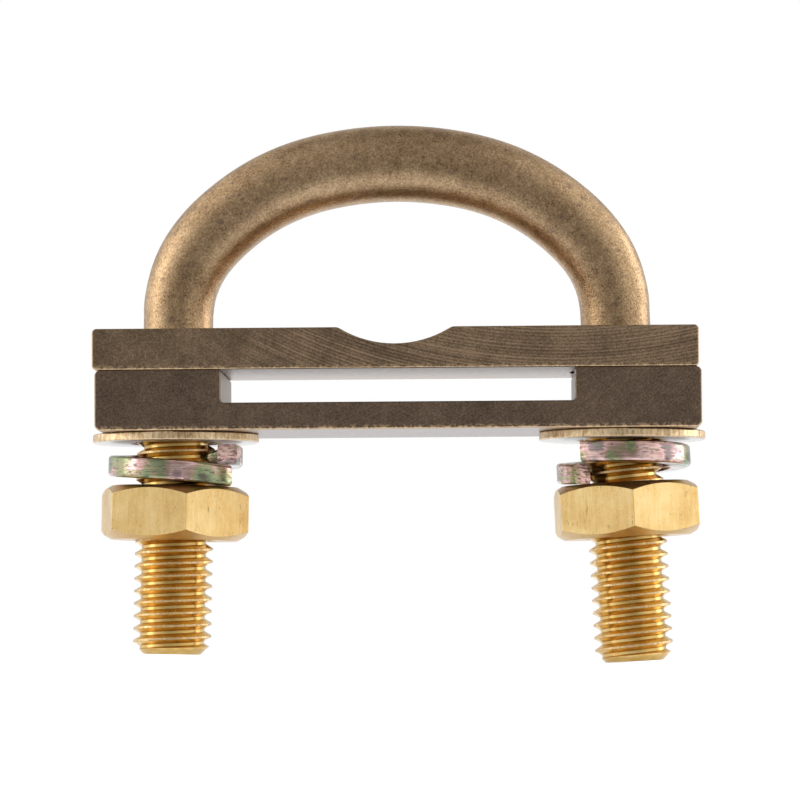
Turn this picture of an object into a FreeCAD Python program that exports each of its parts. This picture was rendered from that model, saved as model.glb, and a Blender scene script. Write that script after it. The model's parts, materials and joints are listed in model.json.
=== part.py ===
"""Ground-rod clamp: a U-bolt, a grooved saddle plate and a slotted tape plate,
drawn together by two sets of flat washer, spring washer and hexagon nut.

Millimetres.  The origin is the deepest line of the saddle plate's groove, at
the middle of the plate's depth.  +X runs along the plates, +Y along the ground
rod and the tape, and +Z points up into the arch of the U-bolt.

The two legs of the U-bolt lean outward a little, one more than the other, as a
bent rod does.  Everything that belongs to a leg is drawn upright about the local
Z axis, with local z = 0 level with the top of the saddle plate, and is then
placed on its leg.
"""
import FreeCAD, Part
import math
import os

Vector = FreeCAD.Vector
X_AXIS = Vector(1, 0, 0)
Y_AXIS = Vector(0, 1, 0)
Z_AXIS = Vector(0, 0, 1)

# Plates
PLATE_LENGTH = 60.0
PLATE_DEPTH = 17.0
SADDLE_THICKNESS = 4.1
TAPE_PLATE_THICKNESS = 6.0
TAPE_SLOT_WIDTH = 35.0
TAPE_SLOT_HEIGHT = 3.3
PLATE_HOLE_RADIUS = 4.6
SADDLE_CORNER_RADIUS = 0.45
TAPE_PLATE_CORNER_RADIUS = 0.6
SLOT_CORNER_RADIUS = 0.3
PLATE_EDGE_RADIUS = 0.18
PLATE_HOLE_RIM = 0.3
TAPE_PLATE_SHIFT = 0.25

# Groove that seats the ground rod
GROOVE_RADIUS = 10.5
GROOVE_DEPTH = 1.65
GROOVE_SHOULDER_RADIUS = 0.9

# U-bolt: arcs that tighten from the crown to the shoulders, then straight legs.
# Each arc but the last ends at an angle from the crown; the last meets the leg.
LEG_RADIUS = 3.5
LEG_SPLAY_DEG = {"left": 1.3, "right": 2.7}
CROWN_HEIGHT = 17.2
ARCH_RADII = (33.0, 22.0, 11.6)
ARCH_BREAKS_DEG = (13.7, 48.7)
CROWN_HALF_WIDTH = 3.86
CROWN_HALF_DEPTH = 3.3
ARCH_SWELL_POWER = 1.2
ARCH_SECTIONS_PER_SIDE = 9

# M8 thread on the legs
THREAD_PITCH = 1.25
THREAD_RADIUS = 3.92
THREAD_ROOT_RADIUS = 3.24
THREAD_START = -5.5
THREAD_RUNOUT = 1.0
THREAD_FLANK_DEG = 30.0
THREAD_CREST_WIDTH = 0.2
THREAD_CUT_MARGIN = 0.12
LEG_END = {"left": -32.2, "right": -33.2}
LEG_TIP_RADIUS = 2.9
LEG_TIP_CHAMFER = 1.0

# Flat washers
FLAT_WASHER_RADIUS = 8.35
FLAT_WASHER_HOLE_RADIUS = 4.5
FLAT_WASHER_THICKNESS = 0.9
FLAT_WASHER_EDGE_RADIUS = 0.18

# Spring washers: one left-hand turn of square wire
SPRING_INNER_RADIUS = 4.6
SPRING_OUTER_RADIUS = 6.75
SPRING_WIRE_HEIGHT = 2.1
SPRING_FREE_HEIGHT = 4.3
SPRING_TURN_DEG = 352.0
SPRING_EDGE_RADIUS = 0.35
SPRING_LOWER_END_DEG = {"left": 61.0, "right": 311.0}

# Hexagon nuts
NUT_ACROSS_CORNERS = 15.93
NUT_HEIGHT = 5.4
NUT_BORE_RADIUS = 4.0
NUT_COUNTERSINK_RADIUS = 4.35
NUT_CHAMFER_RADIUS = 6.35
NUT_CHAMFER_DEG = 30.0
NUT_CORNER_DEG = {"left": 12.7, "right": 3.5}

# Free gap between loose pieces that rest on one another
REST_GAP = 0.03

# How far a cutter runs past what it cuts, and how closely an edge is matched
OVERCUT = 1.0
MATCH = 0.01

SIDES = {"left": -1, "right": 1}

# Levels
SADDLE_TOP = GROOVE_DEPTH
SADDLE_BOTTOM = SADDLE_TOP - SADDLE_THICKNESS
TAPE_PLATE_BOTTOM = SADDLE_BOTTOM - TAPE_PLATE_THICKNESS
TAPE_SLOT_FLOOR = SADDLE_BOTTOM - TAPE_SLOT_HEIGHT
FLAT_WASHER_BOTTOM = TAPE_PLATE_BOTTOM - FLAT_WASHER_THICKNESS

SPLAY = {side: math.radians(angle) for side, angle in LEG_SPLAY_DEG.items()}
ARCH_LIMIT = {side: math.pi / 2 - splay for side, splay in SPLAY.items()}


def arch_station(turn):
    """Centre of the arch and its outward direction, for an angle from the crown."""
    angle = abs(turn)
    side = math.copysign(1, turn)
    radius = ARCH_RADII[0]
    centre_x = 0.0
    centre_z = SADDLE_TOP + CROWN_HEIGHT - radius
    for limit_deg, next_radius in zip(ARCH_BREAKS_DEG, ARCH_RADII[1:]):
        limit = math.radians(limit_deg)
        if angle > limit:
            centre_x += (radius - next_radius) * math.sin(limit)
            centre_z += (radius - next_radius) * math.cos(limit)
            radius = next_radius
    x = side * (centre_x + radius * math.sin(angle))
    z = centre_z + radius * math.cos(angle)
    return Vector(x, 0, z), Vector(side * math.sin(angle), 0, math.cos(angle))


def leg_axis_x(side, level):
    """Distance of a leg's axis from the middle of the clamp at a height."""
    arch_end = arch_station(ARCH_LIMIT[side])[0]
    return arch_end.x + (arch_end.z - level) * math.tan(SPLAY[side])


def along_leg(side, level):
    """A height, in the leg's own frame."""
    return (level - SADDLE_TOP) / math.cos(SPLAY[side])


PLATE_MIDDLE = (SADDLE_TOP + TAPE_PLATE_BOTTOM) / 2
PLATE_HOLE_OFFSET = sum(leg_axis_x(side, PLATE_MIDDLE) for side in SIDES) / len(SIDES)


def place_on_leg(shape, side):
    """Move a shape from the upright leg frame onto the left or right leg."""
    turn = FreeCAD.Rotation(Y_AXIS, -SIDES[side] * LEG_SPLAY_DEG[side])
    foot = Vector(SIDES[side] * leg_axis_x(side, SADDLE_TOP), 0, SADDLE_TOP)
    placed = shape.copy()
    placed.Placement = FreeCAD.Placement(foot, turn).multiply(placed.Placement)
    return placed


def front_point(angle_deg, radius, level=0.0):
    """Point around a leg; the angle is counted from the front, towards +X."""
    angle = math.radians(angle_deg)
    return Vector(radius * math.sin(angle), -radius * math.cos(angle), level)


def revolved(profile):
    """Solid of revolution about Z from (radius, height) corners."""
    points = [Vector(radius, 0, height) for radius, height in profile]
    face = Part.Face(Part.makePolygon(points + points[:1]))
    return face.revolve(Vector(), Z_AXIS, 360)


def upright_cylinder(radius, bottom, top, x=0.0):
    """Cylinder standing along Z."""
    return Part.makeCylinder(radius, top - bottom, Vector(x, 0, bottom), Z_AXIS)


def edges_along_y(shape, x_limits, z):
    """Edges parallel to Y at one height, between two distances from the middle."""
    found = []
    for edge in shape.Edges:
        box = edge.BoundBox
        flat = box.XLength < MATCH and box.ZLength < MATCH
        level = abs(box.Center.z - z) < MATCH
        if flat and level and x_limits[0] < abs(box.Center.x) < x_limits[1]:
            found.append(edge)
    return found


def end_face_edges(shape):
    """Edges that bound the front and back faces of a plate."""
    half = PLATE_DEPTH / 2
    found = []
    for edge in shape.Edges:
        box = edge.BoundBox
        if box.YLength < MATCH and abs(abs(box.Center.y) - half) < MATCH:
            found.append(edge)
    return found


def drilled(plate, bottom, top):
    """Plate with its two leg holes, each broken at the rim."""
    rim = PLATE_HOLE_RIM
    for sign in SIDES.values():
        x = sign * PLATE_HOLE_OFFSET
        plate = plate.cut(upright_cylinder(PLATE_HOLE_RADIUS, bottom - OVERCUT, top + OVERCUT, x))
        for level, direction in ((top, -1), (bottom, 1)):
            wide = PLATE_HOLE_RADIUS + rim
            axis = Vector(0, 0, direction)
            cone = Part.makeCone(wide, PLATE_HOLE_RADIUS, rim, Vector(x, 0, level), axis)
            plate = plate.cut(cone)
    return plate


def make_saddle_plate():
    """Upper plate: a flat bar with a shallow groove for the rod."""
    half = PLATE_LENGTH / 2
    corner = Vector(-half, -PLATE_DEPTH / 2, SADDLE_BOTTOM)
    plate = Part.makeBox(PLATE_LENGTH, PLATE_DEPTH, SADDLE_THICKNESS, corner)
    rod_start = Vector(0, -PLATE_DEPTH / 2 - OVERCUT, GROOVE_RADIUS)
    rod = Part.makeCylinder(GROOVE_RADIUS, PLATE_DEPTH + 2 * OVERCUT, rod_start, Y_AXIS)
    plate = plate.cut(rod)
    shoulders = edges_along_y(plate, (0, half / 2), SADDLE_TOP)
    plate = plate.makeFillet(GROOVE_SHOULDER_RADIUS, shoulders)
    ends = (half - MATCH, half + MATCH)
    corners = edges_along_y(plate, ends, SADDLE_TOP) + edges_along_y(plate, ends, SADDLE_BOTTOM)
    plate = plate.makeFillet(SADDLE_CORNER_RADIUS, corners)
    plate = plate.makeFillet(PLATE_EDGE_RADIUS, end_face_edges(plate))
    return drilled(plate, SADDLE_BOTTOM, SADDLE_TOP)


def make_tape_plate():
    """Lower plate: two bosses joined by a web, with the tape slot between them.

    Its holes are wider than the legs, so it sits a little to +X of the saddle plate.
    """
    half = PLATE_LENGTH / 2
    slot_half = TAPE_SLOT_WIDTH / 2
    corner = Vector(-half, -PLATE_DEPTH / 2, TAPE_PLATE_BOTTOM)
    plate = Part.makeBox(PLATE_LENGTH, PLATE_DEPTH, TAPE_PLATE_THICKNESS, corner)
    slot_corner = Vector(-slot_half, -PLATE_DEPTH / 2 - OVERCUT, TAPE_SLOT_FLOOR)
    slot_size = (TAPE_SLOT_WIDTH, PLATE_DEPTH + 2 * OVERCUT, TAPE_SLOT_HEIGHT + OVERCUT)
    plate = plate.cut(Part.makeBox(*slot_size, slot_corner))
    sides = (slot_half - MATCH, slot_half + MATCH)
    inner = edges_along_y(plate, sides, TAPE_SLOT_FLOOR) + edges_along_y(plate, sides, SADDLE_BOTTOM)
    plate = plate.makeFillet(SLOT_CORNER_RADIUS, inner)
    ends = (half - MATCH, half + MATCH)
    corners = edges_along_y(plate, ends, SADDLE_BOTTOM) + edges_along_y(plate, ends, TAPE_PLATE_BOTTOM)
    plate = plate.makeFillet(TAPE_PLATE_CORNER_RADIUS, corners)
    plate = plate.makeFillet(PLATE_EDGE_RADIUS, end_face_edges(plate))
    plate = drilled(plate, TAPE_PLATE_BOTTOM, SADDLE_BOTTOM)
    plate.translate(X_AXIS * TAPE_PLATE_SHIFT)
    return plate


def arch_section(side, share):
    """Oval section across the arch, a share of the way from the crown to a leg.

    It is widest and flattest at the crown, and round at the leg.
    """
    centre, outward = arch_station(SIDES[side] * share * ARCH_LIMIT[side])
    swell = math.cos(share * math.pi / 2) ** ARCH_SWELL_POWER
    half_width = LEG_RADIUS + (CROWN_HALF_WIDTH - LEG_RADIUS) * swell
    half_depth = LEG_RADIUS + (CROWN_HALF_DEPTH - LEG_RADIUS) * swell
    section = Part.Wire(Part.Ellipse(Vector(), half_width, half_depth).toShape())
    turn = FreeCAD.Rotation(outward, Y_AXIS, outward.cross(Y_AXIS), "XYZ")
    section.Placement = FreeCAD.Placement(centre, turn)
    return section


def make_arch():
    """Bent part of the U-bolt, lofted through its oval sections."""
    shares = [step / ARCH_SECTIONS_PER_SIDE for step in range(ARCH_SECTIONS_PER_SIDE + 1)]
    wires = [arch_section("left", share) for share in reversed(shares)]
    wires += [arch_section("right", share) for share in shares[1:]]
    return Part.makeLoft(wires, True, False)


def make_thread_groove(leg_end):
    """Helical cutter that leaves a right-hand V thread with flat crests."""
    reach = THREAD_RADIUS + THREAD_CUT_MARGIN
    widen = math.tan(math.radians(THREAD_FLANK_DEG))
    crest_half = (THREAD_PITCH - THREAD_CREST_WIDTH) / 2
    outer_half = crest_half + (reach - THREAD_RADIUS) * widen
    root_half = crest_half - (THREAD_RADIUS - THREAD_ROOT_RADIUS) * widen
    corners = [
        Vector(THREAD_ROOT_RADIUS, 0, -root_half),
        Vector(THREAD_ROOT_RADIUS, 0, root_half),
        Vector(reach, 0, outer_half),
        Vector(reach, 0, -outer_half),
    ]
    length = THREAD_START - leg_end + THREAD_PITCH
    taper_deg = 0
    helix = Part.makeLongHelix(THREAD_PITCH, length, THREAD_RADIUS, taper_deg)
    groove = helix.makePipeShell([Part.makePolygon(corners + corners[:1])], True, True)
    groove.translate(Vector(0, 0, leg_end - THREAD_PITCH))
    return groove


def make_leg(side):
    """Straight leg: plain shank, threaded end and chamfered tip."""
    leg_end = LEG_END[side]
    leg_top = along_leg(side, arch_station(ARCH_LIMIT[side])[0].z)
    profile = [
        (0, leg_top),
        (LEG_RADIUS, leg_top),
        (LEG_RADIUS, THREAD_START),
        (THREAD_RADIUS, THREAD_START - THREAD_RUNOUT),
        (THREAD_RADIUS, leg_end + LEG_TIP_CHAMFER),
        (LEG_TIP_RADIUS, leg_end),
        (0, leg_end),
    ]
    return place_on_leg(revolved(profile).cut(make_thread_groove(leg_end)), side)


def make_u_bolt():
    """The arch with both legs, one piece of rod."""
    return make_arch().fuse([make_leg(side) for side in SIDES])


def make_flat_washer(side):
    """Stamped ring that lies flat against the tape plate."""
    bottom, top = FLAT_WASHER_BOTTOM, TAPE_PLATE_BOTTOM
    ring = upright_cylinder(FLAT_WASHER_RADIUS, bottom, top)
    ring = ring.cut(upright_cylinder(FLAT_WASHER_HOLE_RADIUS, bottom - OVERCUT, top + OVERCUT))
    rims = [edge for edge in ring.Edges if edge.BoundBox.ZLength < MATCH]
    ring = ring.makeFillet(FLAT_WASHER_EDGE_RADIUS, rims)
    ring.translate(Vector(SIDES[side] * leg_axis_x(side, bottom), 0, 0))
    return ring


def rounded_square(centre_x, width, height, corner):
    """Closed wire in the XZ plane: a rectangle with round corners."""
    half_width = width / 2 - corner
    half_height = height / 2 - corner
    edges = []
    for quarter in range(4):
        turn = FreeCAD.Rotation(Y_AXIS, -90 * quarter)
        across, along = (half_width, half_height) if quarter % 2 == 0 else (half_height, half_width)
        start = Vector(across + corner, 0, -along)
        end = Vector(across + corner, 0, along)
        diagonal = corner / math.sqrt(2)
        middle = Vector(across + diagonal, 0, along + diagonal)
        finish = Vector(across, 0, along + corner)
        points = [turn.multVec(point) + X_AXIS * centre_x for point in (start, end, middle, finish)]
        edges.append(Part.LineSegment(points[0], points[1]).toShape())
        edges.append(Part.Arc(points[1], points[2], points[3]).toShape())
    return Part.Wire(edges)


def spring_bottom(side):
    """Lower end of a spring washer, in the leg's own frame."""
    return along_leg(side, FLAT_WASHER_BOTTOM) - REST_GAP - SPRING_FREE_HEIGHT


def make_spring_washer(side):
    """One left-hand turn of square wire, with its two cut ends apart in height."""
    middle = (SPRING_INNER_RADIUS + SPRING_OUTER_RADIUS) / 2
    width = SPRING_OUTER_RADIUS - SPRING_INNER_RADIUS
    rise = SPRING_FREE_HEIGHT - SPRING_WIRE_HEIGHT
    pitch = rise * 360 / SPRING_TURN_DEG
    helix = Part.makeHelix(pitch, rise, middle, 0, True)
    wire = rounded_square(middle, width, SPRING_WIRE_HEIGHT, SPRING_EDGE_RADIUS)
    ring = helix.makePipeShell([wire], True, True)
    ring.rotate(Vector(), Z_AXIS, SPRING_LOWER_END_DEG[side] - 90)
    ring.translate(Vector(0, 0, spring_bottom(side) + SPRING_WIRE_HEIGHT / 2))
    return place_on_leg(ring, side)


def make_nut(side):
    """Hexagon nut, chamfered on both faces, with a countersunk bore."""
    corner_radius = NUT_ACROSS_CORNERS / 2
    corners = [front_point(NUT_CORNER_DEG[side] + 60 * step, corner_radius) for step in range(7)]
    corners[-1] = corners[0]
    prism = Part.Face(Part.makePolygon(corners)).extrude(Z_AXIS * NUT_HEIGHT)
    slope = math.tan(math.radians(NUT_CHAMFER_DEG))
    wide = corner_radius + OVERCUT
    drop = (wide - NUT_CHAMFER_RADIUS) * slope
    blank = revolved([
        (0, 0), (NUT_CHAMFER_RADIUS, 0), (wide, drop),
        (wide, NUT_HEIGHT - drop), (NUT_CHAMFER_RADIUS, NUT_HEIGHT), (0, NUT_HEIGHT),
    ])
    sink = NUT_COUNTERSINK_RADIUS - NUT_BORE_RADIUS
    bore = revolved([
        (0, 0), (NUT_COUNTERSINK_RADIUS, 0), (NUT_BORE_RADIUS, sink),
        (NUT_BORE_RADIUS, NUT_HEIGHT - sink), (NUT_COUNTERSINK_RADIUS, NUT_HEIGHT), (0, NUT_HEIGHT),
    ])
    nut = prism.common(blank).cut(bore)
    nut.translate(Vector(0, 0, spring_bottom(side) - REST_GAP - NUT_HEIGHT))
    return place_on_leg(nut, side)


def make_parts():
    """Every piece of the clamp by name."""
    parts = {
        "u_bolt": make_u_bolt(),
        "saddle_plate": make_saddle_plate(),
        "tape_plate": make_tape_plate(),
    }
    for side in SIDES:
        parts[side + "_flat_washer"] = make_flat_washer(side)
        parts[side + "_spring_washer"] = make_spring_washer(side)
        parts[side + "_nut"] = make_nut(side)
    return parts


if __name__ == "__main__":
    os.makedirs("parts", exist_ok=True)
    for name, shape in make_parts().items():
        solids = len(shape.Solids)
        print(f"{name}: {solids} solid, {shape.Volume:.1f} mm3, valid {shape.isValid()}")
        shape.exportStep(f"parts/{name}.step")
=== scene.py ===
"""Looks of the ground-rod clamp: brass and bronze materials, camera, light and floor.

Lengths in the materials are millimetres, everything else is metres. Colours are linear.
"""
import bpy
import json
import math
from mathutils import Matrix, Vector


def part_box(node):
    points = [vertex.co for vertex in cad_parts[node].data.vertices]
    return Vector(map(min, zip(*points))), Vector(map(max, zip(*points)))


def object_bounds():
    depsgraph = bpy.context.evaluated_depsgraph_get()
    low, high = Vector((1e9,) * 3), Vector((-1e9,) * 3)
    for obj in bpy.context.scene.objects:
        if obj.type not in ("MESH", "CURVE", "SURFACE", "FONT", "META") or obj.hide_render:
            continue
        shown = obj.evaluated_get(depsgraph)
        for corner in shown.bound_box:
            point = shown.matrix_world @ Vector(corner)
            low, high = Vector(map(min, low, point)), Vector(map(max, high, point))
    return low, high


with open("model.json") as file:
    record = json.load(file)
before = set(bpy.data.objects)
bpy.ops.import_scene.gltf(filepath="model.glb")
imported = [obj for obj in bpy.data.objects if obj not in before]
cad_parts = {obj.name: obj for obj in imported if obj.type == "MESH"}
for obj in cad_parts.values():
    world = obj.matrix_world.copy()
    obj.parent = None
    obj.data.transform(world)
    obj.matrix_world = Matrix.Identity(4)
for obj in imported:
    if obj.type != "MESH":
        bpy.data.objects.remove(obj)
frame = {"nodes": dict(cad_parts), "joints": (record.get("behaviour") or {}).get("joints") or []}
cad_box = [list(corner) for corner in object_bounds()]

MM = 0.001
NODES = frame["nodes"]
JOINTS = {joint["name"]: joint for joint in frame["joints"]}
SIDES = ("left", "right")
X_AXIS, Y_AXIS, Z_AXIS = 0, 1, 2

SADDLE_LOW, SADDLE_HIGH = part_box("saddle_plate")
TAPE_LOW, TAPE_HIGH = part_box("tape_plate")
PLATE_HALF_DEPTH = SADDLE_HIGH.y / MM
FLOOR_LEVEL = cad_box[0][2]

# the arch's patina ends just inside the tape plate's holes, a little above the thread
PATINA_END = TAPE_HIGH.z / MM - 1.0
PATINA_FADE = 1.0

# distances from a leg's axis over which painted shade darkens the thread's roots to a deeper gold, and its
# crests are bruised
ROOT_SHADE_RADII = (3.55, 3.28)
CREST_RADII = (3.80, 3.88)

# saw marks are arcs about a centre (x, z) far above the plates; the wander is in radians of a tooth
SAW_PITCH = 0.32
SAW_WANDER = 9.0
SADDLE_SAW_CENTRE, SADDLE_SAW_SHARE = (17.0, 60.0), 0.6
TAPE_SAW_CENTRE, TAPE_SAW_SHARE = (-40.0, 70.0), 0.15
SADDLE_TINT = (0.245, 0.168, 0.105)
TAPE_TINT = (0.160, 0.110, 0.076)

# the painted golden highlight on the plates' lower edges begins and is full at these depths in from the
# front and at these heights
HIGHLIGHT_EDGE_DEPTHS = (0.22, 0.16)
HIGHLIGHT_BAND_HEIGHTS = (0.55, 0.15)

GRIME = (0.09, 0.07, 0.06)
NUT_EDGE_RADIUS = 0.09

# brightness of the room, and where it changes: angles from the front, and height on a unit sphere
FRONT_LIGHT, WALL_LIGHT, BACK_LIGHT, CEILING_LIGHT = 0.40, 1.3, 0.75, 0.36
FRONT_EDGE = (math.radians(12), math.radians(62))
BACK_EDGE = (math.radians(125), math.radians(150))
CEILING_EDGE = (0.75, 0.98)

# each softbox's place and power
SOFTBOX_SIZE = (0.36, 0.6)
SOFTBOXES = {
    "left_softbox": ((-0.78, -0.12, 0.20), 1.2),
    "right_softbox": ((0.74, 0.28, 0.20), 1.6),
}

# the floor turns from dim to lit between these places along Y
FLOOR_HALF = 4.0
FLOOR_LIT_EDGE = (-0.11, -0.05)
FLOOR_LIT = 0.95
FLOOR_GLOW = 0.50
FLOOR_GLOW_TINT = (0.72, 0.84, 1.0, 1)
DIM_PAPER, PALE_PAPER = (0.35, 0.35, 0.35), (0.93, 0.93, 0.93)

# the camera aims a little right of the middle, below the saddle plate's top
AIM_RIGHT, AIM_DROP = 0.0003, 0.00675
CENTRE = Vector((AIM_RIGHT, 0.0, SADDLE_HIGH.z - AIM_DROP))
CAMERA_AZIMUTH = math.radians(1.2)
CAMERA_ELEVATION = math.radians(-3.55)
CAMERA_ROLL = math.radians(-0.35)
CAMERA_DISTANCE = 0.40
SENSOR_WIDTH = 36.0
VIEW_PIXELS = 800
PIXELS_PER_MM = 9.92


# ---------------------------------------------------------------- node helpers

def new_material(name):
    """Empty node material with a Principled shader, as (material, tree, shader)."""
    material = bpy.data.materials.new(name)
    material.use_nodes = True
    tree = material.node_tree
    shader = tree.nodes["Principled BSDF"]
    return material, tree, shader


def feed(tree, socket, value):
    """Links a socket to another, or sets its constant."""
    if isinstance(value, bpy.types.NodeSocket):
        tree.links.new(value, socket)
    else:
        socket.default_value = value


def maths(tree, operation, first, second=0.0, third=0.0, clamp=False):
    """One Math node."""
    node = tree.nodes.new("ShaderNodeMath")
    node.operation = operation
    node.use_clamp = clamp
    for socket, value in zip(node.inputs, (first, second, third)):
        feed(tree, socket, value)
    return node.outputs[0]


def times(tree, first, second):
    """Product of two values."""
    return maths(tree, "MULTIPLY", first, second)


def weigh(tree, *parts):
    """Sum of (value, share) pairs, each value times its share."""
    total = 0.0
    for value, share in parts:
        total = maths(tree, "MULTIPLY_ADD", value, share, total)
    return total


def length(tree, first, second):
    """Length of the hypotenuse over two values."""
    return maths(tree, "SQRT", maths(tree, "MULTIPLY_ADD", first, first, times(tree, second, second)))


def smooth(tree, value, low, high):
    """0 at low, 1 at high, with a smooth step between; low may be the greater."""
    node = tree.nodes.new("ShaderNodeMapRange")
    node.interpolation_type = "SMOOTHSTEP"
    feed(tree, node.inputs["Value"], value)
    node.inputs["From Min"].default_value = low
    node.inputs["From Max"].default_value = high
    return node.outputs["Result"]


def remap(tree, value, low, high):
    """Stretches 0..1 to low..high."""
    node = tree.nodes.new("ShaderNodeMapRange")
    feed(tree, node.inputs["Value"], value)
    node.inputs["To Min"].default_value = low
    node.inputs["To Max"].default_value = high
    return node.outputs["Result"]


def millimetres(tree):
    """Place on the piece, in millimetres."""
    coords = tree.nodes.new("ShaderNodeTexCoord")
    node = tree.nodes.new("ShaderNodeVectorMath")
    node.operation = "SCALE"
    feed(tree, node.inputs["Vector"], coords.outputs["Object"])
    node.inputs["Scale"].default_value = 1 / MM
    return node.outputs["Vector"]


def split(tree, vector):
    """The three parts of a vector."""
    node = tree.nodes.new("ShaderNodeSeparateXYZ")
    feed(tree, node.inputs[0], vector)
    return node.outputs


def join(tree, x, y, z):
    """A vector from three values."""
    node = tree.nodes.new("ShaderNodeCombineXYZ")
    for socket, value in zip(node.inputs, (x, y, z)):
        feed(tree, socket, value)
    return node.outputs[0]


def stretch(tree, vector, scale, shift=(0.0, 0.0, 0.0)):
    """Vector times scale, plus shift."""
    node = tree.nodes.new("ShaderNodeVectorMath")
    node.operation = "MULTIPLY_ADD"
    feed(tree, node.inputs[0], vector)
    node.inputs[1].default_value = scale
    node.inputs[2].default_value = shift
    return node.outputs["Vector"]


def noise(tree, vector, scale, detail=2.0, roughness=0.5):
    """Noise between 0 and 1; scale is in waves per millimetre."""
    node = tree.nodes.new("ShaderNodeTexNoise")
    feed(tree, node.inputs["Vector"], vector)
    node.inputs["Scale"].default_value = scale
    node.inputs["Detail"].default_value = detail
    node.inputs["Roughness"].default_value = roughness
    return node.outputs["Fac"]


def specks(tree, vector, scale, size):
    """Small round spots: 1 in the middle of about four cells in ten, 0 elsewhere."""
    node = tree.nodes.new("ShaderNodeTexVoronoi")
    feed(tree, node.inputs["Vector"], vector)
    node.inputs["Scale"].default_value = scale
    spot = maths(tree, "SUBTRACT", 1.0, smooth(tree, node.outputs["Distance"], size / 2, size))
    chosen = smooth(tree, split(tree, node.outputs["Color"])[0], 0.6, 0.65)
    return times(tree, spot, chosen)


def ramp(tree, value, stops):
    """Colour ramp through (position, colour) stops."""
    node = tree.nodes.new("ShaderNodeValToRGB")
    feed(tree, node.inputs["Fac"], value)
    elements = node.color_ramp.elements
    while len(elements) < len(stops):
        elements.new(0.5)
    for element, (position, colour) in zip(elements, stops):
        element.position = position
        element.color = (*colour, 1.0)
    return node.outputs["Color"]


def shade(tint, factor):
    """A tint made lighter or darker."""
    return tuple(factor * part for part in tint)


def mix(tree, factor, first, second):
    """Mixes two colours, which are the node's inputs 6 and 7."""
    node = tree.nodes.new("ShaderNodeMix")
    node.data_type = "RGBA"
    feed(tree, node.inputs["Factor"], factor)
    for socket, value in ((node.inputs[6], first), (node.inputs[7], second)):
        feed(tree, socket, value if isinstance(value, bpy.types.NodeSocket) else (*value, 1.0))
    return node.outputs[2]


def blend(tree, factor, first, second):
    """Mixes two values, which are the node's inputs 2 and 3."""
    node = tree.nodes.new("ShaderNodeMix")
    feed(tree, node.inputs["Factor"], factor)
    feed(tree, node.inputs[2], first)
    feed(tree, node.inputs[3], second)
    return node.outputs[0]


def bump(tree, height, depth, normal=None):
    """Bump of a 0..1 height that is depth millimetres deep."""
    node = tree.nodes.new("ShaderNodeBump")
    node.inputs["Distance"].default_value = depth * MM
    feed(tree, node.inputs["Height"], height)
    if normal is not None:
        feed(tree, node.inputs["Normal"], normal)
    return node.outputs["Normal"]


def rounded(tree, radius):
    """Normal with its sharp edges rounded off, radius in millimetres."""
    node = tree.nodes.new("ShaderNodeBevel")
    node.samples = 4
    node.inputs["Radius"].default_value = radius * MM
    return node.outputs["Normal"]


def slope(tree, axis):
    """The surface normal's part along an axis of the piece."""
    coords = tree.nodes.new("ShaderNodeTexCoord")
    return split(tree, coords.outputs["Normal"])[axis]


def facing(tree, axis):
    """How far the surface faces along an axis of the piece, either way."""
    return maths(tree, "ABSOLUTE", slope(tree, axis))


def finish_metal(tree, shader, colour, roughness, normal):
    """Wires a metal's colour, roughness and normal."""
    shader.inputs["Metallic"].default_value = 1.0
    feed(tree, shader.inputs["Base Color"], colour)
    feed(tree, shader.inputs["Roughness"], roughness)
    feed(tree, shader.inputs["Normal"], normal)


# ---------------------------------------------------------------- materials

def leg_radius(tree, x, y, z):
    """Distance from the axis of the nearer leg, in millimetres."""
    distances = []
    for side in SIDES:
        axis = Vector(JOINTS[side + "_nut_travel"]["axis"])
        foot = Vector(JOINTS[side + "_nut_spin"]["pos_m"]) / MM
        lean = axis.x / axis.z
        middle = maths(tree, "MULTIPLY_ADD", z, lean, foot.x - foot.z * lean)
        distances.append(length(tree, maths(tree, "SUBTRACT", x, middle), y))
    return maths(tree, "MINIMUM", *distances)


def aged_brass(tree, place):
    """Handled brass rod: brown patina with fine golden speckle, as (colour, roughness, height)."""
    cloud = noise(tree, place, 0.20, detail=3.0, roughness=0.55)
    stain = noise(tree, place, 1.1, detail=4.0, roughness=0.7)
    speckle = noise(tree, place, 5.0, detail=2.0, roughness=0.7)
    patina = weigh(tree, (cloud, 0.22), (stain, 0.26), (speckle, 0.52))
    colour = ramp(tree, patina, [
        (0.37, (0.20, 0.12, 0.062)),
        (0.46, (0.37, 0.24, 0.13)),
        (0.54, (0.48, 0.325, 0.18)),
        (0.64, (0.68, 0.48, 0.29)),
    ])
    blotch = noise(tree, stretch(tree, place, (0.6, 1.0, 1.2), (5.0, 3.0, 1.0)), 0.9, detail=4.0)
    bruise = smooth(tree, blotch, 0.60, 0.70)
    colour = mix(tree, times(tree, bruise, 0.4), colour, (0.15, 0.10, 0.09))
    pits = specks(tree, place, 1.7, 0.12)
    colour = mix(tree, times(tree, pits, 0.5), colour, GRIME)
    roughness = remap(tree, stain, 0.26, 0.44)
    height = maths(tree, "MULTIPLY_ADD", pits, -0.8, speckle)
    return colour, roughness, height


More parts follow.
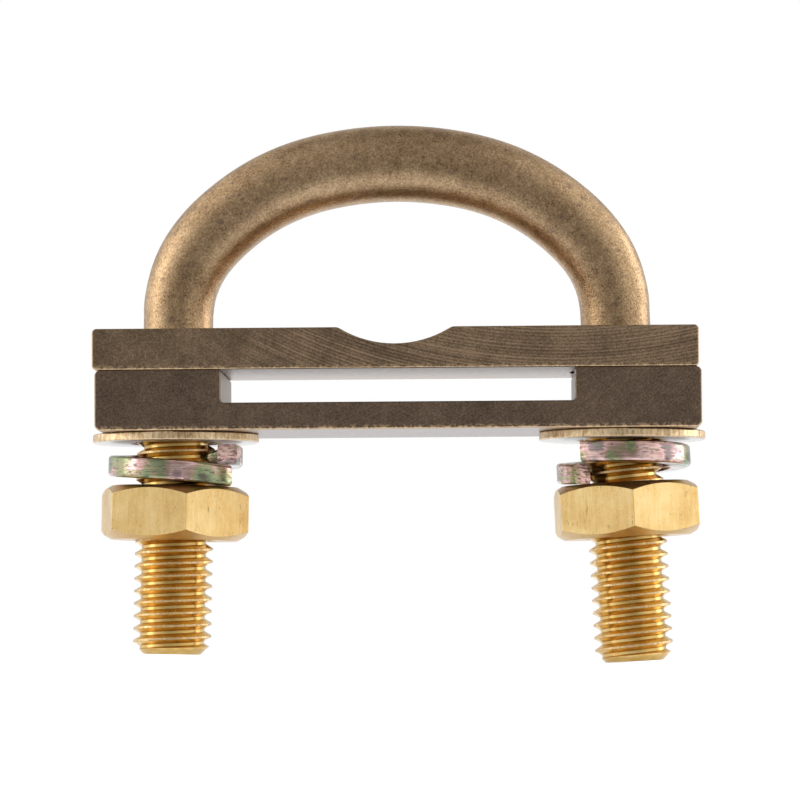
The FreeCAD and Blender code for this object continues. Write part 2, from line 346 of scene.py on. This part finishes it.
def thread_brass(tree, place, radius):
    """Bright rolled thread: bruised crests, and painted shade in the roots, a darker, deeper gold."""
    streak = noise(tree, stretch(tree, place, (0.8, 0.8, 3.0)), 1.0, detail=3.0)
    colour = ramp(tree, streak, [
        (0.35, (0.66, 0.42, 0.12)),
        (0.55, (0.80, 0.55, 0.20)),
        (0.75, (0.88, 0.68, 0.34)),
    ])
    # painted shade: the thread's roots are coloured a darker, deeper gold
    root_shade = smooth(tree, radius, *ROOT_SHADE_RADII)
    colour = mix(tree, times(tree, root_shade, 0.5), colour, (0.46, 0.29, 0.09))
    crest = smooth(tree, radius, *CREST_RADII)
    scuff = noise(tree, place, 4.0, detail=4.0, roughness=0.75)
    bruised = times(tree, crest, smooth(tree, scuff, 0.42, 0.56))
    colour = mix(tree, bruised, colour, (0.52, 0.36, 0.22))
    roughness = blend(tree, bruised, 0.21, 0.36)
    height = times(tree, scuff, blend(tree, crest, 0.25, 1.0))
    return colour, roughness, height


def u_bolt_brass():
    """Aged satin brass on the arch, bright golden brass on the threads."""
    material, tree, shader = new_material("u_bolt_brass")
    place = millimetres(tree)
    x, y, z = split(tree, place)
    aged, aged_roughness, aged_height = aged_brass(tree, place)
    bright, bright_roughness, bright_height = thread_brass(tree, place, leg_radius(tree, x, y, z))
    on_thread = smooth(tree, z, PATINA_END + PATINA_FADE, PATINA_END)
    colour = mix(tree, on_thread, aged, bright)
    roughness = blend(tree, on_thread, aged_roughness, bright_roughness)
    height = blend(tree, on_thread, aged_height, bright_height)
    finish_metal(tree, shader, colour, roughness, bump(tree, height, 0.025))
    return material


def saw_marks(tree, place, centre):
    """Fine arcs left by a saw, as (lines, broad bands)."""
    x, y, z = split(tree, place)
    across = maths(tree, "SUBTRACT", x, centre[0])
    down = maths(tree, "SUBTRACT", centre[1], z)
    reach = length(tree, across, down)
    swing = maths(tree, "ARCTAN2", across, down)
    cut = join(tree, reach, times(tree, swing, 1.6), times(tree, y, 0.2))
    scratch = noise(tree, stretch(tree, cut, (2.6, 0.8, 1.0)), 2.0, detail=1.0, roughness=0.7)
    bands = noise(tree, stretch(tree, cut, (0.5, 1.5, 1.0)), 1.0, detail=3.0, roughness=0.6)
    phase = maths(tree, "MULTIPLY_ADD", reach, math.tau / SAW_PITCH, times(tree, bands, SAW_WANDER))
    teeth = maths(tree, "MULTIPLY_ADD", maths(tree, "SINE", phase), 0.09, 0.25)
    return maths(tree, "MULTIPLY_ADD", scratch, 0.5, teeth), bands


def lower_edge_highlight(tree, place, flatness, on_front, underside):
    """Painted golden highlight along the front and back faces' lower edges, broken up by noise, 0 to 1."""
    _, y, z = split(tree, place)
    begins, full = (PLATE_HALF_DEPTH - depth for depth in HIGHLIGHT_EDGE_DEPTHS)
    near_face = smooth(tree, maths(tree, "ABSOLUTE", y), begins, full)
    rim = times(tree, near_face, smooth(tree, flatness, 0.985, 0.93))
    downward = smooth(tree, slope(tree, Z_AXIS), 0.25, -0.25)
    patchiness = remap(tree, noise(tree, place, 1.3, detail=3.0), 0.1, 1.2)
    edge = times(tree, times(tree, rim, downward), patchiness)
    begins, full = (underside + height for height in HIGHLIGHT_BAND_HEIGHTS)
    band = times(tree, on_front, smooth(tree, z, begins, full))
    flecks = smooth(tree, noise(tree, place, 3.0, detail=2.0), 0.46, 0.62)
    return maths(tree, "MULTIPLY_ADD", band, times(tree, flecks, 0.8), edge, clamp=True)


def plate_bronze(name, tint, saw_centre, saw_share, underside):
    """Sawn brown bronze front and back, smoother drawn faces, a painted golden highlight along the lower
    edges.
    """
    material, tree, shader = new_material(name)
    place = millimetres(tree)
    x = split(tree, place)[X_AXIS]
    flatness = facing(tree, Y_AXIS)
    on_front = smooth(tree, flatness, 0.55, 0.8)

    lines, bands = saw_marks(tree, place, saw_centre)
    grain = noise(tree, place, 5.5, detail=3.0, roughness=0.75)
    cloud = noise(tree, place, 0.30, detail=4.0, roughness=0.7)
    # the marks fade out towards the left end
    clear = smooth(tree, maths(tree, "MULTIPLY_ADD", cloud, 14.0, x), -17.0, 1.0)
    clear = times(tree, clear, saw_share)
    marks = times(tree, maths(tree, "SUBTRACT", lines, 0.5), clear)
    tone = weigh(tree, (marks, 1.0), (bands, 0.08), (grain, 0.62), (cloud, 0.30), (x, 0.002 * saw_share))
    sawn = ramp(tree, tone, [
        (0.36, shade(tint, 0.55)),
        (0.50, tint),
        (0.64, shade(tint, 1.70)),
    ])

    drawn_lines = noise(tree, stretch(tree, place, (5.0, 0.15, 5.0)), 1.0, detail=3.0)
    drawn = ramp(tree, drawn_lines, [
        (0.35, shade(tint, 1.25)),
        (0.65, shade(tint, 1.55)),
    ])
    dirt = specks(tree, stretch(tree, place, (1.0, 0.45, 1.0)), 1.3, 0.2)
    drawn = mix(tree, times(tree, dirt, 0.6), drawn, (0.07, 0.05, 0.04))

    edge_highlight = lower_edge_highlight(tree, place, flatness, on_front, underside)
    colour = mix(tree, on_front, drawn, sawn)
    # painted highlight: golden colour along the plates' lower edges
    colour = mix(tree, edge_highlight, colour, (0.66, 0.46, 0.27))
    roughness = blend(tree, on_front, remap(tree, drawn_lines, 0.26, 0.36), remap(tree, grain, 0.38, 0.60))
    roughness = blend(tree, edge_highlight, roughness, 0.32)
    relief = blend(tree, on_front, times(tree, drawn_lines, 0.3), times(tree, lines, clear))
    normal = bump(tree, relief, 0.06)
    normal = bump(tree, times(tree, grain, on_front), 0.012, normal)
    finish_metal(tree, shader, colour, roughness, normal)
    return material


def washer_brass():
    """Stamped washer: scratched golden rim, smoother faces with specks and a painted reflection of the
    pale floor.
    """
    material, tree, shader = new_material("washer_brass")
    place = millimetres(tree)
    sheared = noise(tree, stretch(tree, place, (2.4, 2.4, 0.8)), 1.0, detail=4.0, roughness=0.75)
    rim = ramp(tree, sheared, [
        (0.34, (0.34, 0.21, 0.10)),
        (0.48, (0.66, 0.47, 0.26)),
        (0.64, (0.90, 0.70, 0.46)),
    ])
    cloud = noise(tree, place, 0.6, detail=4.0, roughness=0.6)
    # painted reflection: the faces are coloured pale grey, like the pale floor they reflect; the specks
    # below are dirt
    face_reflection_and_dirt = ramp(tree, cloud, [
        (0.35, (0.52, 0.46, 0.38)),
        (0.65, (0.70, 0.63, 0.55)),
    ])
    dirt = specks(tree, place, 1.3, 0.2)
    face_reflection_and_dirt = mix(tree, times(tree, dirt, 0.5), face_reflection_and_dirt, (0.12, 0.09, 0.06))
    on_face = smooth(tree, facing(tree, Z_AXIS), 0.5, 0.8)
    colour = mix(tree, on_face, rim, face_reflection_and_dirt)
    roughness = blend(tree, on_face, remap(tree, sheared, 0.22, 0.48), remap(tree, cloud, 0.22, 0.38))
    relief = blend(tree, on_face, sheared, times(tree, cloud, 0.3))
    finish_metal(tree, shader, colour, roughness, bump(tree, relief, 0.05))
    return material


def spring_washer_steel():
    """Yellow-passivated zinc: olive and tan with pink and green tints and dark wear."""
    material, tree, shader = new_material("spring_washer_steel")
    place = millimetres(tree)
    lines = noise(tree, stretch(tree, place, (0.25, 0.25, 5.0)), 1.0, detail=3.0, roughness=0.6)
    film = noise(tree, stretch(tree, place, (1.0, 1.0, 0.8), (2.5, 7.0, 0.0)), 0.30)
    film = maths(tree, "MULTIPLY_ADD", maths(tree, "SUBTRACT", lines, 0.5), 0.30, film)
    colour = ramp(tree, film, [
        (0.30, (0.14, 0.13, 0.09)),
        (0.38, (0.27, 0.34, 0.19)),
        (0.45, (0.38, 0.33, 0.19)),
        (0.51, (0.62, 0.38, 0.37)),
        (0.57, (0.80, 0.58, 0.50)),
        (0.63, (0.36, 0.23, 0.26)),
        (0.69, (0.24, 0.31, 0.20)),
        (0.76, (0.42, 0.28, 0.32)),
    ])
    wear = noise(tree, stretch(tree, place, (0.8, 0.8, 2.0)), 1.8, detail=4.0, roughness=0.75)
    dark = smooth(tree, wear, 0.53, 0.64)
    colour = mix(tree, times(tree, dark, 0.8), colour, (0.12, 0.095, 0.08))
    roughness = remap(tree, lines, 0.10, 0.28)
    height = maths(tree, "MULTIPLY_ADD", dark, -0.5, lines)
    finish_metal(tree, shader, colour, roughness, bump(tree, height, 0.02))
    return material


def nut_brass():
    """Bright drawn yellow brass, darker on the turned chamfers and faces."""
    material, tree, shader = new_material("nut_brass")
    place = millimetres(tree)
    drawn = noise(tree, stretch(tree, place, (3.0, 3.0, 0.3)), 1.0, detail=4.0, roughness=0.6)
    cloud = noise(tree, place, 0.3, detail=3.0, roughness=0.6)
    grain = noise(tree, place, 5.0, detail=3.0, roughness=0.75)
    tone = weigh(tree, (drawn, 0.30), (cloud, 0.45), (grain, 0.25))
    flat = ramp(tree, tone, [
        (0.36, (0.70, 0.44, 0.16)),
        (0.50, (0.84, 0.58, 0.24)),
        (0.64, (0.95, 0.71, 0.35)),
    ])
    nick = noise(tree, stretch(tree, place, (2.0, 2.0, 0.8)), 1.0, detail=5.0, roughness=0.8)
    nicks = smooth(tree, nick, 0.61, 0.68)
    flat = mix(tree, times(tree, nicks, 0.75), flat, (0.22, 0.13, 0.06))
    turned = mix(tree, 0.65, flat, (0.42, 0.23, 0.06))
    on_end = smooth(tree, facing(tree, Z_AXIS), 0.4, 0.6)
    colour = mix(tree, on_end, flat, turned)
    roughness = blend(tree, on_end, remap(tree, drawn, 0.22, 0.34), 0.30)
    height = maths(tree, "MULTIPLY_ADD", nicks, -0.8, times(tree, drawn, 0.5))
    normal = bump(tree, height, 0.02, rounded(tree, NUT_EDGE_RADIUS))
    finish_metal(tree, shader, colour, roughness, normal)
    return material


def dress(node, material):
    """Gives a CAD node its material."""
    for slot in NODES[node].material_slots:
        slot.link = "OBJECT"
        slot.material = material


# ---------------------------------------------------------------- floor, light, camera

def make_floor():
    """Wide pale floor under the leg ends.

    Reflections see its front part darker than the camera does, like paper lit from behind.
    """
    mesh = bpy.data.meshes.new("floor")
    corners = [(x * FLOOR_HALF, y * FLOOR_HALF, 0) for x, y in ((-1, -1), (1, -1), (1, 1), (-1, 1))]
    mesh.from_pydata(corners, [], [(0, 1, 2, 3)])
    floor = bpy.data.objects.new("floor", mesh)
    bpy.context.scene.collection.objects.link(floor)
    floor.location.z = FLOOR_LEVEL
    material, tree, shader = new_material("floor_paper")
    coords = tree.nodes.new("ShaderNodeTexCoord")
    path = tree.nodes.new("ShaderNodeLightPath")
    behind = smooth(tree, split(tree, coords.outputs["Object"])[Y_AXIS], *FLOOR_LIT_EDGE)
    lit = maths(tree, "MAXIMUM", times(tree, behind, FLOOR_LIT), path.outputs["Is Camera Ray"])
    feed(tree, shader.inputs["Base Color"], mix(tree, lit, DIM_PAPER, PALE_PAPER))
    shader.inputs["Roughness"].default_value = 0.9
    shader.inputs["Specular IOR Level"].default_value = 0.1
    shader.inputs["Emission Color"].default_value = FLOOR_GLOW_TINT
    feed(tree, shader.inputs["Emission Strength"], times(tree, lit, FLOOR_GLOW))
    mesh.materials.append(material)


def make_world():
    """White room: brightest at the sides, darker behind, above and in front, where the photographer is.

    The camera itself sees plain white, so that the backdrop has no horizon.
    """
    world = bpy.data.worlds.new("studio")
    world.use_nodes = True
    bpy.context.scene.world = world
    tree = world.node_tree
    coords = tree.nodes.new("ShaderNodeTexCoord")
    x, y, z = split(tree, coords.outputs["Generated"])
    swing = maths(tree, "ARCTAN2", maths(tree, "ABSOLUTE", x), times(tree, y, -1.0))
    light = remap(tree, smooth(tree, swing, *FRONT_EDGE), FRONT_LIGHT, WALL_LIGHT)
    light = blend(tree, smooth(tree, swing, *BACK_EDGE), light, BACK_LIGHT)
    light = blend(tree, smooth(tree, z, *CEILING_EDGE), light, CEILING_LIGHT)
    path = tree.nodes.new("ShaderNodeLightPath")
    strength = blend(tree, path.outputs["Is Camera Ray"], light, 1.0)
    background = tree.nodes["Background"]
    background.inputs["Color"].default_value = (1.0, 1.0, 1.0, 1.0)
    feed(tree, background.inputs["Strength"], strength)


def add_softbox(name, place, power):
    """Soft box aimed at the clamp, unseen by the camera."""
    data = bpy.data.lights.new(name, "AREA")
    data.shape = "RECTANGLE"
    data.size, data.size_y = SOFTBOX_SIZE
    data.energy = power
    light = bpy.data.objects.new(name, data)
    light.location = place
    light.rotation_euler = (CENTRE - Vector(place)).to_track_quat("-Z", "Y").to_euler()
    light.visible_camera = False
    bpy.context.scene.collection.objects.link(light)


def make_camera():
    """Long lens a little below the plates' level and a little to the right."""
    back = Vector((
        math.sin(CAMERA_AZIMUTH) * math.cos(CAMERA_ELEVATION),
        -math.cos(CAMERA_AZIMUTH) * math.cos(CAMERA_ELEVATION),
        math.sin(CAMERA_ELEVATION),
    ))
    data = bpy.data.cameras.new("camera")
    data.sensor_width = SENSOR_WIDTH
    data.lens = PIXELS_PER_MM * CAMERA_DISTANCE / MM * SENSOR_WIDTH / VIEW_PIXELS
    data.clip_start, data.clip_end = 0.01, 20.0
    camera = bpy.data.objects.new("camera", data)
    camera.location = CENTRE + back * CAMERA_DISTANCE
    look = (-back).to_track_quat("-Z", "Y").to_matrix()
    camera.rotation_euler = (look @ Matrix.Rotation(CAMERA_ROLL, 3, "Z")).to_euler()
    bpy.context.scene.collection.objects.link(camera)
    bpy.context.scene.camera = camera


saddle_bronze = plate_bronze(
    "plate_bronze_saddle", SADDLE_TINT, SADDLE_SAW_CENTRE, SADDLE_SAW_SHARE, SADDLE_LOW.z / MM)
tape_bronze = plate_bronze(
    "plate_bronze_tape", TAPE_TINT, TAPE_SAW_CENTRE, TAPE_SAW_SHARE, TAPE_LOW.z / MM)
dress("u_bolt", u_bolt_brass())
dress("saddle_plate", saddle_bronze)
dress("tape_plate", tape_bronze)
finishes = {"flat_washer": washer_brass(), "spring_washer": spring_washer_steel(), "nut": nut_brass()}
for side in SIDES:
    for piece, finish in finishes.items():
        dress(side + "_" + piece, finish)

make_floor()
make_world()
for name, (place, power) in SOFTBOXES.items():
    add_softbox(name, place, power)
make_camera()
bpy.context.scene.view_settings.view_transform = "Standard"
